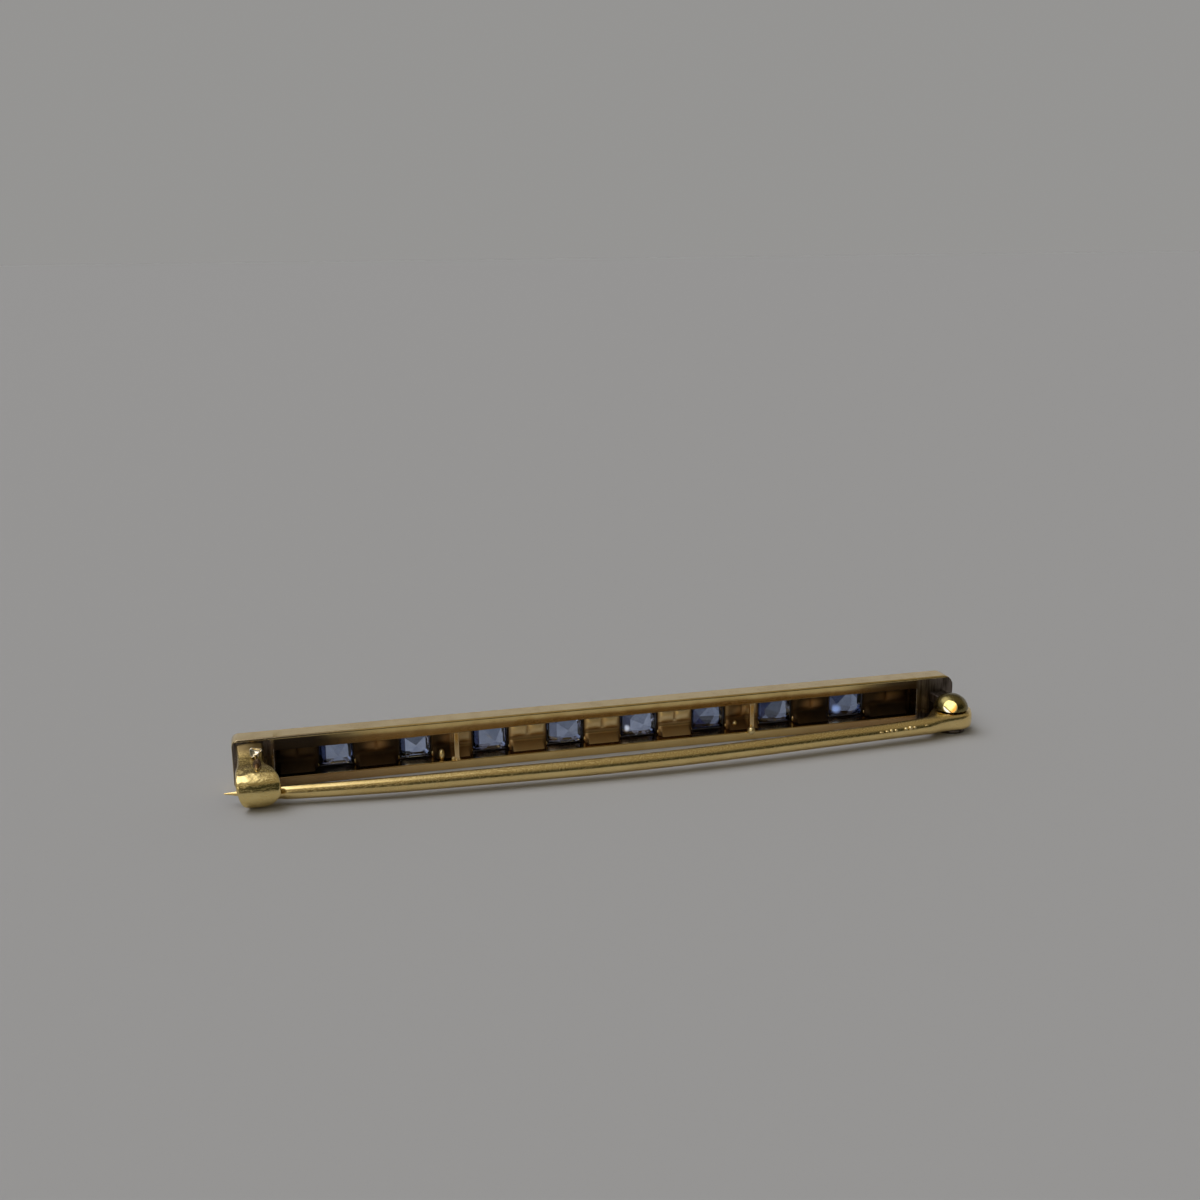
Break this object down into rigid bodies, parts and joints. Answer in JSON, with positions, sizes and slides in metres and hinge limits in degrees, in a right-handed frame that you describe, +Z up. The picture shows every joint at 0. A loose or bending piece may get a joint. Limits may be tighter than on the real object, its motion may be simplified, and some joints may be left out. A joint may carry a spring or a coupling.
{
  "type": "bar brooch",
  "caption": "Slim gold bar brooch with an open back, a line of square blue stones set in windows, a hinged pin and a broad sheet hook.",
  "frame": {"origin": "centre of the brooch's footprint, on the surface that it stands on", "axes": "+X along the bar from the catch to the hinge, +Y from the open back towards the front with the stones, +Z up the bar's height"},
  "size_m": [0.053, 0.007, 0.0035],
  "materials": {
    "bar_gold": "satin old gold, dark tarnish in the open back",
    "catch_gold": "polished gold with fine scratches",
    "pin_gold": "drawn gold wire with fine scratches along it",
    "sapphire": "polished clear blue stone"
  },
  "bodies": {
    "brooch": {"bar_frame": "bar_gold", "catch": "catch_gold", "catch_rivet": "catch_gold", "hinge_rivet": "bar_gold", "sapphire_1": "sapphire", "sapphire_2": "sapphire", "sapphire_3": "sapphire", "sapphire_4": "sapphire", "sapphire_5": "sapphire", "sapphire_6": "sapphire", "sapphire_7": "sapphire", "sapphire_8": "sapphire"},
    "pin": {"pin_stem": "pin_gold"}
  },
  "joints": [
    {"name": "pin_hinge", "type": "hinge", "parent": "brooch", "child": "pin", "pos_m": [0.02496, -0.00047, 0.00098], "axis": [0, 0, 1], "range_deg": [0, 95]}
  ]
}
